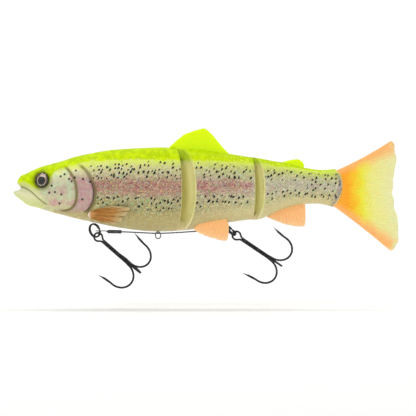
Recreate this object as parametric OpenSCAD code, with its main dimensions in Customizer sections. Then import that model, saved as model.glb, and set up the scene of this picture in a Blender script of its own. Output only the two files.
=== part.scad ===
// A three-section soft swimbait on a line-through stinger rig.
// Head towards -X, tail towards +X, back towards +Z. The origin is the mouth
// of the line bore in the fish's nose.

/* [Body] */
// Greatest width of the body
body_w = 24; // [20:0.5:26]
// Thickness of the moulded fins at their roots
fin_t = 2.4; // [1.8:0.1:3]
// Thickness of the fins at their free edges
fin_edge_t = 1; // [0.6:0.1:1.4]
// Thickness of the fabric nets inside the body
net_t = 0.5; // [0.3:0.1:0.6]

/* [Joints] */
// Where the first body hinge's axis stands along X
hinge1_x = 82.5; // [82:0.1:83]
// Where the second body hinge's axis stands along X
hinge2_x = 121.6; // [121:0.1:122]
// Half the gap between two sections on the centre plane
gap_half = 1.3; // [1:0.1:1.5]
// Slope of the first socket, in the tail end of the front section
socket1 = 17; // [14:1:18]
// Slope of the wedge on the front of the middle section
wedge1 = 34; // [34:1:38]
// Slope of the second socket, in the tail end of the middle section
socket2 = 12; // [10:1:13]
// Slope of the wedge on the front of the tail section
wedge2 = 28; // [28:1:31]
// Where the tail fin's root turns along X
flex_x = 165; // [164.5:0.1:165.5]
// Radius of the tail fin's rounded root
flex_r = 2; // [1.6:0.1:2.2]

/* [Line bore] */
// Radius of the hole that the fishing line runs through
bore_r = 0.9; // [0.6:0.1:1]
// Length of the line tube
tube_len = 37; // [36:0.5:37.5]
// Angle of the line tube below the horizontal
tube_angle = 23.7; // [23:0.1:24.5]

/* [Rig] */
// Diameter of the stinger wire
wire_d = 0.6; // [0.4:0.1:0.7]
// Middle radius of the split rings
ring_r = 3.5; // [3.4:0.05:3.6]
// Width of a split ring's two coils, side by side
ring_w = 1.25; // [1:0.05:1.3]
// Thickness of a split ring across its wire
ring_t = 0.75; // [0.5:0.05:0.75]

/* [Treble hooks] */
// Diameter of the hook wire
hook_d = 1; // [0.8:0.1:1.1]
// Length of the straight shank behind the eye
shank_len = 21.4; // [19:0.2:23]
// Radius of each hook's bend
bend_r = 7.2; // [6.4:0.2:7.6]
// Length of the straight stretch that ends in the point
point_len = 8; // [6:0.5:9]
// Middle radius of the hook's eye
eye_r = 2.15; // [2.1:0.05:2.3]

/* [Hidden] */

// Stations of the whole fish: [x, back, belly, half width / greatest half width]
stations = [
    [-3.2, -1, -2.2, 0.1], [-2.2, 1.4, -3.2, 0.2], [-1.2, 4.6, -4, 0.3],
    [0, 6.8, -4.9, 0.38], [3, 8.4, -7.3, 0.5], [9.5, 11.5, -9.4, 0.64],
    [16, 13.5, -11.5, 0.75], [22, 15.1, -13, 0.83], [28, 17.1, -14.6, 0.89],
    [38, 19.3, -16.8, 0.94], [47, 20.8, -18.8, 0.97], [56, 21.5, -20.3, 0.99],
    [66, 22, -21.4, 1], [75, 22.2, -21.6, 1], [84, 21.4, -21.1, 0.98],
    [94, 20.8, -19.8, 0.94], [100, 20, -18.2, 0.9], [110, 18.7, -16.7, 0.83],
    [119, 17.3, -15.6, 0.77], [125, 16.5, -15.2, 0.72], [131, 15.3, -12.6, 0.66],
    [138, 14.1, -9.6, 0.58], [144, 12.5, -7.9, 0.51], [150, 11.3, -7.3, 0.44],
    [156, 10.5, -7.3, 0.38], [162, 10.7, -8.6, 0.32], [168, 11.6, -10.4, 0.28]
];
ring_sides = 40;
station_step = 3;
reach = 40;        // further than any part of the body from the centre plane
clear = 0.3;       // between parts that move past each other
pocket = 0.04;     // between a part and the pocket that it's moulded into
flex_cut = 0.8;    // the tail section ends this far ahead of the flex axis
knuckle1_r = 2.4;  // round knuckles close each hinge's gap above and below its net
knuckle2_r = 2;

// Eyes
eye_x = 12.3;
eye_z = 4.9;
eye_out = 7.7;     // from the centre plane to the socket's floor
eye_disc_r = 3.6;
eye_disc_t = 1;
eye_dome_h = 1;
eye_yaw = 13;      // the eyes look a little forwards
eye_pitch = 12;    // and a little up

// Rig places, on the centre plane as [x, z]
tube_wall = 0.5;
pin_d = 0.5;
pin_r = 1.75;
pin_len = 13;
pin_turn = 38;     // a pin's eye is turned this far so that the wire passes
front_pin_at = [71.9, -23.6];
rear_pin_at = [96.8, -21.9];
wire_front = [41, -21.7];
wire_rear = [102.4, -20.3];
wire_line = [wire_front, [45, -21.7], [53, -21.8], [62, -22.2], [71.9, -22.6],
             [82, -22.2], [90.5, -21.6], [96.8, -21.1], wire_rear];
sleeve_r = 0.85;
rear_sleeve_len = 3;
front_loop_r = 1.8;
front_loop_at = [41.2, 2.3];   // [x, y]
rear_loop_r = 1.45;
rear_loop_at = [106.75, -19];
wire_sides = 8;

// Rings: centre [x, z], lean of the long axis off the vertical, and turn out
// of the centre plane
front_ring_at = [38.9, -21.1];
front_ring_lean = 22;
front_ring_turn = 50;
rear_ring_at = [109.5, -21];
rear_ring_lean = 49;
rear_ring_turn = 77;

// Trebles: the eye's centre as [x, z] and the shank's angle below the horizontal
front_treble_at = [40.7, -24.5];
front_treble_angle = 41;
rear_treble_at = [112.75, -23.75];
rear_treble_angle = 34;
hook_sides = 10;
shank_off = hook_d * 0.59;  // each shank's distance from the treble's axis
leg_gap = 0.03;
point_flare = 4;            // the point leans outwards by this angle

// ---- curves ----

function segment(t, x, i = 0) =
    i >= len(t) - 2 || x < t[i + 1][0] ? i : segment(t, x, i + 1);
function slope(t, i, c) =
    let (a = max(i - 1, 0), b = min(i + 1, len(t) - 1))
    (t[b][c] - t[a][c]) / (t[b][0] - t[a][0]);
// The smooth value of column c of table t at x
function smooth(t, x, c) =
    let (i = segment(t, x), h = t[i + 1][0] - t[i][0], s = (x - t[i][0]) / h,
         p = t[i][c], q = t[i + 1][c],
         m = slope(t, i, c) * h, n = slope(t, i + 1, c) * h)
    p * (2 * pow(s, 3) - 3 * s * s + 1) + m * (pow(s, 3) - 2 * s * s + s)
    + q * (3 * s * s - 2 * pow(s, 3)) + n * (pow(s, 3) - s * s);

function back(x) = smooth(stations, x, 1);
function belly(x) = smooth(stations, x, 2);
function half_w(x) = smooth(stations, x, 3) * body_w / 2;

function signed_pow(v, e) = sign(v) * pow(abs(v), e);
function body_ring(x) =
    let (mid = (back(x) + belly(x)) / 2, tall = (back(x) - belly(x)) / 2)
    [for (k = [0:ring_sides - 1]) let (a = 360 * k / ring_sides)
        [x, half_w(x) * signed_pow(cos(a), 0.9), mid + tall * signed_pow(sin(a), 0.95)]];

// A smooth closed curve through the points p, with n points in each stretch
function closed_curve(p, n) = let (m = len(p)) [
    for (i = [0:m - 1]) for (k = [0:n - 1])
        let (a = p[(i + m - 1) % m], b = p[i], c = p[(i + 1) % m], d = p[(i + 2) % m], s = k / n)
        0.5 * (2 * b + (c - a) * s + (2 * a - 5 * b + 4 * c - d) * s * s
        + (3 * b - a - 3 * c + d) * pow(s, 3))];

// The same points, turned round if they ran anticlockwise
function clockwise(p) =
    let (m = len(p), ones = [for (q = p) 1],
         area = [for (i = [0:m - 1]) cross(p[i], p[(i + 1) % m])] * ones)
    area < 0 ? p : [for (i = [m - 1:-1:0]) p[i]];

function unit(v) = v / norm(v);

// ---- shared shapes ----

// A skin over rings that all have the same number of points
module skin(rings) {
    n = len(rings[0]);
    m = len(rings);
    polyhedron(
        points = [for (r = rings) each r],
        faces = concat(
            [[for (k = [0:n - 1]) k]],
            [for (i = [0:m - 2]) for (k = [0:n - 1]) let (j = (k + 1) % n)
                each [[i * n + k, (i + 1) * n + k, (i + 1) * n + j],
                      [i * n + k, (i + 1) * n + j, i * n + j]]],
            [[for (k = [n - 1:-1:0]) (m - 1) * n + k]]),
        convexity = 4);
}

// The fish's body between two places along X
module body_length(x0, x1) {
    count = ceil((x1 - x0) / station_step);
    skin([for (i = [0:count]) body_ring(x0 + (x1 - x0) * i / count)]);
}

// Everything behind a face that leans back by an angle on both sides
module behind(x, angle) {
    translate([0, 0, -reach]) linear_extrude(2 * reach)
        polygon([[x, 0], [x + reach * tan(angle), reach], [x + 4 * reach, reach],
                 [x + 4 * reach, -reach], [x + reach * tan(angle), -reach]]);
}

// Everything ahead of such a face
module ahead(x, angle) {
    translate([0, 0, -reach]) linear_extrude(2 * reach)
        polygon([[x, 0], [x + reach * tan(angle), reach], [x - 3 * reach, reach],
                 [x - 3 * reach, -reach], [x + reach * tan(angle), -reach]]);
}

// A plate with an [x, z] outline that thins from the root point to the tip point
module fin(outline, hub, root, tip, t0 = fin_t, t1 = fin_edge_t, extra = 0) {
    p = clockwise(closed_curve(outline, 4));
    n = len(p);
    along = tip - root;
    function half_t(q) =
        let (s = min(max((q - root) * along / (along * along), 0), 1))
        (t0 + (t1 - t0) * s) / 2 + extra;
    polyhedron(
        points = concat([for (q = p) [q[0], -half_t(q), q[1]]],
                        [for (q = p) [q[0], half_t(q), q[1]]],
                        [[hub[0], -half_t(hub), hub[1]], [hub[0], half_t(hub), hub[1]]]),
        faces = [for (k = [0:n - 1]) let (j = (k + 1) % n)
                     each [[2 * n, k, j], [2 * n + 1, n + j, n + k],
                           [k, n + j, j], [k, n + k, n + j]]],
        convexity = 4);
}

// A round wire along [x, z] points, with a radius for each point
module wire(path, radii, sides = wire_sides) {
    last = len(path) - 1;
    skin([for (i = [0:last])
        let (t = unit(path[min(i + 1, last)] - path[max(i - 1, 0)]), side = [-t[1], t[0]])
        [for (k = [0:sides - 1]) let (a = 360 * k / sides, o = radii[i] * cos(a))
            [path[i][0] + o * side[0], -radii[i] * sin(a), path[i][1] + o * side[1]]]]);
}

function same(path, r) = [for (p = path) r];
// Points round an arc on the centre plane
function arc(c, r, a0, a1, n) = [for (i = [0:n]) let (a = a0 + (a1 - a0) * i / n) c + r * [cos(a), sin(a)]];

// A wire that runs out from a neck, round a centre and back, in two halves
module open_loop(neck, centre, loop_r, r, sides) {
    a = atan2(neck[1] - centre[1], neck[0] - centre[0]);
    for (turn = [1, -1]) {
        path = concat([neck], arc(centre, loop_r, a + turn * 50, a + turn * 190, 12));
        wire(path, same(path, r), sides);
    }
}

module mirrored(left) {
    if (left) children();
    else mirror([0, 1, 0]) children();
}

// ---- pockets in the body ----

module eye_place() {
    translate([eye_x, -eye_out, eye_z]) rotate([-eye_pitch, 0, -eye_yaw]) rotate([90, 0, 0]) children();
}

module tube_place() {
    rotate([0, 90 + tube_angle, 0]) children();
}

module pin_pocket(at) {
    translate([at[0], 0, at[1]]) cylinder(h = pin_len + pocket, r = pin_d / 2 + pocket, $fn = 24);
}

module mouth_notch() {
    translate([0, reach, 0]) rotate([90, 0, 0]) linear_extrude(2 * reach)
        polygon([[-6, -0.9], [-2.6, -0.9], [1.4, 0.2], [-1, 3], [-6, 3]]);
}

// Room for a hinge's knuckles: upright cylinders round its axis, above and below its net
module knuckles(x, r, bottom, top) {
    translate([x, 0, top]) cylinder(h = reach, r = r, $fn = 48);
    translate([x, 0, bottom - reach]) cylinder(h = reach, r = r, $fn = 48);
}

// ---- body ----

module front_body() {
    color([0.8, 0.9, 0.5]) difference() {
        body_length(-3.2, hinge1_x + 4);
        behind(hinge1_x - gap_half, socket1);
        knuckles(hinge1_x, knuckle1_r + clear, -15.8, 16.6);
        mouth_notch();
        tube_place() translate([0, 0, -1]) cylinder(h = tube_len + 8, r = bore_r + tube_wall + pocket, $fn = 48);
        for (left = [true, false]) mirrored(left) {
            eye_place() cylinder(h = 8, r = eye_disc_r + pocket, $fn = 48);
            pectoral(pocket);
        }
        net_sheet(73.5, hinge1_x, -15, 16, pocket);
        front_weight(pocket);
        pin_pocket(front_pin_at);
    }
}

module middle_body() {
    color([0.8, 0.9, 0.5]) difference() {
        body_length(hinge1_x - 3, hinge2_x + 1);
        difference() {
            ahead(hinge1_x + gap_half, wedge1);
            knuckles(hinge1_x, knuckle1_r, -16.1, 16.9);
        }
        behind(hinge2_x - gap_half + 0.4, socket2);
        knuckles(hinge2_x, knuckle2_r + clear, -11.8, 12.6);
        net_sheet(hinge1_x - 2, 92, -15, 16, pocket);
        net_sheet(114, hinge2_x + 2, -11, 12, pocket);
        middle_weight(pocket);
        pin_pocket(rear_pin_at);
        dorsal(pocket);
        for (left = [true, false]) mirrored(left) pelvic(pocket);
    }
}

module tail_body() {
    color([0.8, 0.9, 0.6]) difference() {
        body_length(hinge2_x - 3, flex_x + 1);
        difference() {
            ahead(hinge2_x + gap_half - 0.4, wedge2);
            knuckles(hinge2_x, knuckle2_r, -12.1, 12.9);
        }
        translate([flex_x - flex_cut, -reach, -reach]) cube(2 * reach);
        translate([flex_x, 0, -reach]) cylinder(h = 2 * reach, r = flex_r + clear, $fn = 48);
        net_sheet(hinge2_x - 2, 131, -11, 12, pocket);
        net_sheet(152, flex_x, -5, 7, pocket);
        adipose(pocket);
        anal(pocket);
    }
}

// ---- fins ----

module caudal_fin() {
    outline = [[165.2, 10.6], [171.3, 13.2], [178.4, 16.7], [185.8, 21.1], [192.2, 25],
               [194.3, 25.2], [195.4, 21], [195.8, 13], [194.4, 1], [195.1, -8],
               [196.3, -15], [197.2, -21.7], [196.2, -27], [193.4, -31.4], [190.3, -30.2],
               [178.4, -19.3], [169.1, -12.2], [165.2, -8.8]];
    color("orange") difference() {
        union() {
            fin(outline, [176, -1], [165, 0], [195, 0], 2 * flex_r - 1.4, 1.2);
            translate([flex_x, 0, -8.6]) cylinder(h = 19, r = flex_r, $fn = 48);
        }
        net_sheet(flex_x - 4, 174, -5, 7, pocket);
    }
}

module dorsal(extra = 0) {
    outline = [[77.2, 22.7], [81, 25.8], [85.2, 28.8], [88.6, 30.2], [92.5, 31.6], [95.6, 32.1],
               [97.4, 31.4], [100.9, 27.8], [104.4, 23.6], [108.9, 18.8], [106, 17.2],
               [96, 17.6], [87, 18.6], [85.4, 20.6], [83, 21.95]];
    fin(outline, [92, 24], [92, 20], [96, 32], extra = extra);
}
module dorsal_fin() { color("greenyellow") dorsal(); }

module adipose(extra = 0) {
    outline = [[136.2, 14.3], [140.6, 15.5], [144.4, 16], [146.8, 15], [147.9, 12.9],
               [147.2, 10.2], [143, 10.4], [138, 12]];
    fin(outline, [143, 13], [143, 11], [146, 16], 1.8, extra = extra);
}
module adipose_fin() { color("greenyellow") adipose(); }

module anal(extra = 0) {
    outline = [[128.4, -14.3], [133.2, -16.1], [138.2, -17.9], [143.2, -19], [147.6, -18.8],
               [148.7, -15], [148.4, -8], [146, -6], [139, -7.2], [133.5, -10.4]];
    fin(outline, [141, -12.5], [141, -8], [143, -19], 2, extra = extra);
}
module anal_fin() { color("sandybrown") anal(); }

// The left pelvic fin; the right one is its mirror image
module pelvic(extra = 0) {
    outline = [[90.3, -20.6], [93, -22.6], [96.5, -24.3], [101, -25.8], [106.9, -26.6],
               [108.4, -23.3], [108.6, -19], [107.2, -15.6], [103, -14.4], [98.2, -14.6],
               [94, -17.6]];
    splay = 14;
    translate([0, -4.4, -15.5]) rotate([-splay, 0, 0]) translate([0, 0, 15.5])
        fin(outline, [101, -19.5], [101, -15], [103, -26], 2, extra = extra);
}
module left_pelvic_fin() { color("sandybrown") pelvic(); }
module right_pelvic_fin() { color("sandybrown") mirrored(false) pelvic(); }

// The left pectoral fin, which lies along the flank
module pectoral(extra = 0) {
    outline = [[35, -11.4], [37, -10.4], [41, -9.6], [45.5, -8.6], [50, -8.2], [56.6, -8.8],
               [57.2, -9.8], [53.4, -14.2], [51, -17.4], [46, -17.6], [40, -16.4], [36, -14.6]];
    flare = 14;
    lean = 12;
    translate([36, -7.6, -12]) rotate([lean, 0, -flare]) translate([-36, 0, 12])
        fin(outline, [44, -13], [36, -13], [56, -13], 1.8, extra = extra);
}
module left_pectoral_fin() { color("peru") pectoral(); }
module right_pectoral_fin() { color("peru") mirrored(false) pectoral(); }

// ---- eyes ----

module eye_disc() {
    eye_place() translate([0, 0, pocket]) cylinder(h = eye_disc_t, r = eye_disc_r, $fn = 48);
}
module eye_dome() {
    // the dome is a cap cut from a ball
    ball_r = (pow(eye_disc_r, 2) + pow(eye_dome_h, 2)) / (2 * eye_dome_h);
    eye_place() translate([0, 0, pocket + eye_disc_t]) difference() {
        translate([0, 0, eye_dome_h - ball_r]) sphere(ball_r, $fn = 160);
        translate([0, 0, -ball_r * 2]) cylinder(h = ball_r * 2, r = ball_r * 2, $fn = 64);
    }
}
module left_eye() { color("gold") eye_disc(); }
module right_eye() { color("gold") mirrored(false) eye_disc(); }
module left_eye_dome() { color("white", 0.4) eye_dome(); }
module right_eye_dome() { color("white", 0.4) mirrored(false) eye_dome(); }

// ---- inside the body ----

module line_tube() {
    color("white") tube_place() difference() {
        cylinder(h = tube_len, r = bore_r + tube_wall, $fn = 48);
        translate([0, 0, -1]) cylinder(h = tube_len + 2, r = bore_r, $fn = 48);
    }
}

// A sheet of net on the centre plane
module net_sheet(x0, x1, z0, z1, extra = 0) {
    translate([x0 - extra, -net_t / 2 - extra, z0 - extra])
        cube([x1 - x0 + 2 * extra, net_t + 2 * extra, z1 - z0 + 2 * extra]);
}
module front_hinge_net() { color("ivory") net_sheet(73.5, 92, -15, 16); }
module rear_hinge_net() { color("ivory") net_sheet(114, 131, -11, 12); }
module tail_net() { color("ivory") net_sheet(152, 174, -5, 7); }

// A lead slug along X with bevelled ends
module slug(at, length, r, extra) {
    bevel = r / 2;
    translate(at) rotate([0, 90, 0]) rotate_extrude($fn = 48)
        polygon([[0, -extra], [r - bevel + extra, -extra], [r + extra, bevel],
                 [r + extra, length - bevel], [r - bevel + extra, length + extra], [0, length + extra]]);
}
module front_weight(extra = 0) { slug([46, 0, -11], 23, 4.2, extra); }
module middle_weight(extra = 0) { slug([100, 0, -9], 12, 3, extra); }
module front_keel_weight() { color("dimgray") front_weight(); }
module middle_keel_weight() { color("dimgray") middle_weight(); }

// ---- rig ----

// A straight wire pin that ends below the belly in a round eye
module belly_pin(at) {
    path = concat([[0, pin_len]], arc([0, 0], pin_r, 90, 430, 20));
    translate([at[0], 0, at[1]]) rotate([0, 0, pin_turn]) wire(path, same(path, pin_d / 2));
}
module front_belly_pin() { color("silver") belly_pin(front_pin_at); }
module rear_belly_pin() { color("silver") belly_pin(rear_pin_at); }

module stinger_wire() {
    r = wire_d / 2;
    span = [for (i = [1:len(wire_line) - 1]) wire_line[i]];
    back_dir = unit(rear_loop_at - wire_rear);
    color("gray") resize([0, 0, 0]) union() {
        wire(span, same(span, r));
        // the front loop lies flat and the rear loop stands upright
        translate([0, 0, wire_front[1]]) rotate([-90, 0, 0])
            open_loop([45.2, 0], front_loop_at, front_loop_r, r, wire_sides);
        open_loop(wire_rear - 0.2 * back_dir, rear_loop_at, rear_loop_r, r, wire_sides);
    }
}

module sleeve(from, to) {
    d = to - from;
    translate([from[0], 0, from[1]]) rotate([0, 90 - atan2(d[1], d[0]), 0]) difference() {
        cylinder(h = norm(d), r = sleeve_r, $fn = 32);
        translate([0, 0, -1]) cylinder(h = norm(d) + 2, r = wire_d / 2 + 0.03, $fn = 32);
    }
}
module front_crimp_sleeve() { color("dimgray") sleeve(wire_line[1] + [0.5, 0], wire_line[2]); }
module rear_crimp_sleeve() {
    d = unit(wire_rear - wire_line[len(wire_line) - 2]);
    color("dimgray") sleeve(wire_rear - rear_sleeve_len * d, wire_rear);
}

module ring_place(at, lean, turn) {
    // the ring's own long axis is its local -Z, and its flat side faces local Y
    translate([at[0], 0, at[1]]) rotate([0, -lean, 0]) rotate([0, 0, turn]) rotate([90, 0, 0]) children();
}
module split_ring() {
    rotate_extrude($fn = 64) translate([ring_r - ring_t / 2, -ring_w / 2]) square([ring_t, ring_w]);
}
module front_split_ring() { color("dimgray") ring_place(front_ring_at, front_ring_lean, front_ring_turn) split_ring(); }
module rear_split_ring() { color("dimgray") ring_place(rear_ring_at, rear_ring_lean, rear_ring_turn) split_ring(); }

// One hook of the treble, its axis along +X from the eye's centre
module hook() {
    start = eye_r + hook_d;
    bend_c = [start + shank_len - 3, shank_off + bend_r];
    flare = [-cos(point_flare), sin(point_flare)];
    top = bend_c + [0, bend_r];
    path = concat([[start, shank_off]], arc(bend_c, bend_r, -90, 90, 14),
                  [for (s = [0.3, 0.5, 0.52, 0.62, 1]) top + s * point_len * flare]);
    r = hook_d / 2;
    radii = concat([for (i = [0:15]) r], [r, r, r * 1.5, r * 0.8, r * 0.4]);
    wire(path, radii, hook_sides);
}
module treble(at, angle) {
    // the eye's two legs end just short of the shanks
    leg = hook_d * 0.53;
    end = eye_r + hook_d;
    loop = concat([[end - leg_gap, leg], [end - 0.3, leg]], arc([0, 0], eye_r, 38, 322, 20),
                  [[end - 0.3, -leg], [end - leg_gap, -leg]]);
    color("dimgray") translate([at[0], 0, at[1]]) rotate([0, angle, 0]) {
        for (turn = [-90, 30, 150]) rotate([turn, 0, 0]) hook();
        wire(loop, same(loop, hook_d / 2), hook_sides);
    }
}
module front_treble() { treble(front_treble_at, front_treble_angle); }
module rear_treble() { treble(rear_treble_at, rear_treble_angle); }

front_body();
middle_body();
tail_body();
caudal_fin();
dorsal_fin();
adipose_fin();
anal_fin();
left_pelvic_fin();
right_pelvic_fin();
left_pectoral_fin();
right_pectoral_fin();
left_eye();
right_eye();
left_eye_dome();
right_eye_dome();
line_tube();
front_hinge_net();
rear_hinge_net();
tail_net();
front_keel_weight();
middle_keel_weight();
front_belly_pin();
rear_belly_pin();
stinger_wire();
front_crimp_sleeve();
rear_crimp_sleeve();
front_split_ring();
front_treble();
rear_split_ring();
rear_treble();
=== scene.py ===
"""A three-section soft trout swimbait on a stinger rig: its meshes, materials and studio.

Lengths in the tables and functions are millimetres in the frame's own axes: head towards -X,
tail towards +X, back towards +Z. Meshes are scaled to metres when they are made.
"""
import math

import bpy
import numpy as np
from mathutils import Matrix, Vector


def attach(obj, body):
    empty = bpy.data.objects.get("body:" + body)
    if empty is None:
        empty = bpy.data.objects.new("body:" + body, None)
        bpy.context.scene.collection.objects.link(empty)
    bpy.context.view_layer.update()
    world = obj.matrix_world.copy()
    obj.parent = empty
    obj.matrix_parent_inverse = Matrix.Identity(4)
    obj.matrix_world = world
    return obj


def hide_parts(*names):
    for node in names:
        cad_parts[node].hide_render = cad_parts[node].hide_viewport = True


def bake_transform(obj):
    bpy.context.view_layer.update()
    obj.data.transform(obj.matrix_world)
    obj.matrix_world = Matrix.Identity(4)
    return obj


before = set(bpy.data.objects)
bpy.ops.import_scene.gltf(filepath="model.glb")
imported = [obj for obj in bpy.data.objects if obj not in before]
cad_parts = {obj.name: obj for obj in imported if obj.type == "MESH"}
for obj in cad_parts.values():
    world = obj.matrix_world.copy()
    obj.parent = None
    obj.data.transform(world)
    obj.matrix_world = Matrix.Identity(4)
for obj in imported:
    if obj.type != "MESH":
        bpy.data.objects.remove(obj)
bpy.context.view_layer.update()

MM = 0.001

# ---------------------------------------------------------------- driving sizes

# The whole fish: x, back, belly, half width
STATIONS = np.array([
    (-3.2, -1, -2.2, 1.2), (-2.2, 1.4, -3.2, 2.4), (-1.2, 4.6, -4, 3.6),
    (0, 6.8, -4.9, 4.6), (3, 8.4, -7.3, 6), (9.5, 11.5, -9.4, 7.7),
    (16, 13.5, -11.5, 9), (22, 15.1, -13, 10), (28, 17.1, -14.6, 10.7),
    (38, 19.3, -16.8, 11.3), (47, 20.8, -18.8, 11.6), (56, 21.5, -20.3, 11.9),
    (66, 22, -21.4, 12), (75, 22.2, -21.6, 12), (84, 21.4, -21.1, 11.8),
    (94, 20.8, -19.8, 11.3), (100, 20, -18.2, 10.8), (110, 18.7, -16.7, 10),
    (119, 17.3, -15.6, 9.2), (125, 16.5, -15.2, 8.6), (131, 15.3, -12.6, 7.9),
    (138, 14.1, -9.6, 7), (144, 12.5, -7.9, 6.1), (150, 11.3, -7.3, 5.3),
    (156, 10.5, -7.3, 4.6), (162, 10.7, -8.6, 3.8), (168, 11.6, -10.4, 3.4)])

HINGE1, HINGE2 = 82.5, 121.6
# Hinge faces: ridge, lean, hinge axis, knuckle radius and the heights that the knuckles start from
SOCKET1, WEDGE1 = (HINGE1 - 1.3, 17, HINGE1, 2.7, -15.8, 16.6), (HINGE1 + 1.3, 34, HINGE1, 2.4, -16.1, 16.9)
SOCKET2, WEDGE2 = (HINGE2 - 0.9, 12, HINGE2, 2.3, -11.8, 12.6), (HINGE2 + 0.9, 28, HINGE2, 2.0, -12.1, 12.9)
EYE = (12.3, 4.9)
EYE_OUT, EYE_YAW, EYE_PITCH = 7.7, 13, 12

# Lines on the head and body, as points on the side view
MOUTH_LINE = [(-0.5, 1.0), (2.1, 1.4), (6.4, -1), (9.7, -4), (12.2, -6.1), (15.2, -7.9)]
CHEEK_EDGE = [(22.4, 12.2), (25, 10.3), (27.3, 7.4), (28.9, 4.2), (29.7, -0.1), (29.6, -4.7),
              (28.2, -8), (24.9, -10.1), (19.3, -10)]
GILL_EDGE = [(29.5, 12.9), (32, 11.4), (34.6, 9), (37, 5.5), (38.8, 1.3), (39.1, -2.4),
             (38.4, -6.1), (36.1, -9.9), (33, -12.1)]
HEAD_DOTS = [(22, 6.9), (24, 7.9), (26.4, 5.5), (27.8, 4.3), (17.3, 2.1), (16, -1.5), (19, -1.2), (22.3, -2.4),
             (21.3, -7), (33.2, -4.9), (33.6, 5.5), (29.3, 6.3), (29.8, 9.8), (37.2, 4)]
PEDUNCLE_END = np.array([(-9, 163.4), (-7.4, 164.6), (-4.5, 166.4), (-1, 167.8), (1.8, 168.2), (5, 167.8),
                         (8, 166.8), (10, 165.2), (11.4, 163.4)])
GREEN_EDGE = np.array([(-4, 4.2), (3.6, 3.8), (7, 1.6), (10, 0.6), (14.5, 2.6), (19, 9.3), (26, 12.3),
                       (32, 13.6), (38, 14.8), (60, 15.4), (82, 15.2), (105, 14.7), (122, 13.7),
                       (140, 11.3), (156, 9.3), (168, 9.6)])


# ---------------------------------------------------------------- curves and fields

def smooth_table(rows, x, column):
    """A smooth curve through one column of a table, by cubic pieces."""
    at, value = rows[:, 0], rows[:, column]
    slope = np.gradient(value, at)
    i = np.clip(np.searchsorted(at, x) - 1, 0, len(at) - 2)
    h = at[i + 1] - at[i]
    s = np.clip((x - at[i]) / h, 0, 1)
    return (value[i] * (2 * s**3 - 3 * s**2 + 1) + slope[i] * h * (s**3 - 2 * s**2 + s)
            + value[i + 1] * (3 * s**2 - 2 * s**3) + slope[i + 1] * h * (s**3 - s**2))


def back(x):
    return smooth_table(STATIONS, x, 1)


def belly(x):
    return smooth_table(STATIONS, x, 2)


def half_width(x):
    return smooth_table(STATIONS, x, 3)


def middle(x):
    return (back(x) + belly(x)) / 2


def height(x):
    return (back(x) - belly(x)) / 2


def signed_power(v, e):
    return np.sign(v) * np.abs(v) ** e


def body_point(x, angle):
    """The smooth body's surface at a place along X and an angle round it."""
    y = half_width(x) * signed_power(np.cos(angle), 0.9)
    z = middle(x) + height(x) * signed_power(np.sin(angle), 0.95)
    return y, z


def soft_step(v, low, high):
    s = np.clip((v - low) / (high - low), 0, 1)
    return s * s * (3 - 2 * s)


def bell(v, width):
    return np.exp(-(v / width) ** 2)


def through(points, count):
    """A smooth open curve through points, at even spacing along it."""
    p = np.array(points, float)
    p = np.vstack([2 * p[0] - p[1], p, 2 * p[-1] - p[-2]])
    s = np.linspace(0, 1, 24, endpoint=False)[:, None]
    out = []
    for a, b, c, d in zip(p, p[1:], p[2:], p[3:]):
        out.append(0.5 * (2 * b + (c - a) * s + (2 * a - 5 * b + 4 * c - d) * s**2
                          + (3 * b - a - 3 * c + d) * s**3))
    out = np.vstack(out + [p[-2][None]])
    run = np.concatenate([[0], np.cumsum(np.linalg.norm(np.diff(out, axis=0), axis=1))])
    at = np.linspace(0, run[-1], count)
    return np.stack([np.interp(at, run, out[:, k]) for k in range(out.shape[1])], axis=1)


def off_curve(x, z, points):
    """Distance from a curve, positive on its left as it runs, and the share of its length."""
    line = through(points, 90)
    step = np.gradient(line, axis=0)
    side = np.full(x.shape, 99.0)
    share = np.zeros(x.shape)
    near = (x > line[:, 0].min() - 9) & (x < line[:, 0].max() + 9)
    dx = x[near][:, None] - line[None, :, 0]
    dz = z[near][:, None] - line[None, :, 1]
    gap = np.hypot(dx, dz)
    i = gap.argmin(axis=1)
    rows = np.arange(len(i))
    turn = step[i, 0] * dz[rows, i] - step[i, 1] * dx[rows, i]
    side[near] = gap[rows, i] * np.where(turn < 0, -1, 1)
    share[near] = i / (len(line) - 1)
    return side, share


def scale_height(x, z, size):
    """Overlapping scales in staggered rows: 0 at their roots, 1 at their free edges."""
    u, v = x / size, z / (size * 0.62)
    best = np.zeros(x.shape)
    for row in (np.floor(v), np.floor(v) + 1):
        shift = 0.5 * (row % 2)
        for col in (np.floor(u - shift), np.floor(u - shift) + 1):
            du = u - shift - col
            dv = (v - row) * 0.62
            r = np.hypot(du, dv * 1.25)
            best = np.maximum(best, np.where(r < 0.62, 0.35 + 0.65 * du / 0.62 * (r < 0.62), 0))
    return np.clip(best, 0, 1)


# ---------------------------------------------------------------- meshes

def make_object(name, points, faces):
    """A smooth-shaded mesh from points in mm."""
    mesh = bpy.data.meshes.new(name)
    mesh.from_pydata((np.asarray(points) * MM).tolist(), [], [tuple(f) for f in faces])
    mesh.validate()
    mesh.update()
    mesh.polygons.foreach_set("use_smooth", [True] * len(mesh.polygons))
    obj = bpy.data.objects.new(name, mesh)
    bpy.context.scene.collection.objects.link(obj)
    return obj


def put_value(obj, name, values):
    """Stores one number per point, for the material to read."""
    layer = obj.data.attributes.new(name, "FLOAT", "POINT")
    layer.data.foreach_set("value", np.asarray(values, np.float32).ravel())


def put_place(obj, points):
    """Stores each point's place at rest in mm, so that paint stays put when the piece bends."""
    layer = obj.data.attributes.new("place", "FLOAT_VECTOR", "POINT")
    layer.data.foreach_set("vector", np.asarray(points, np.float32).ravel())


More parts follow.
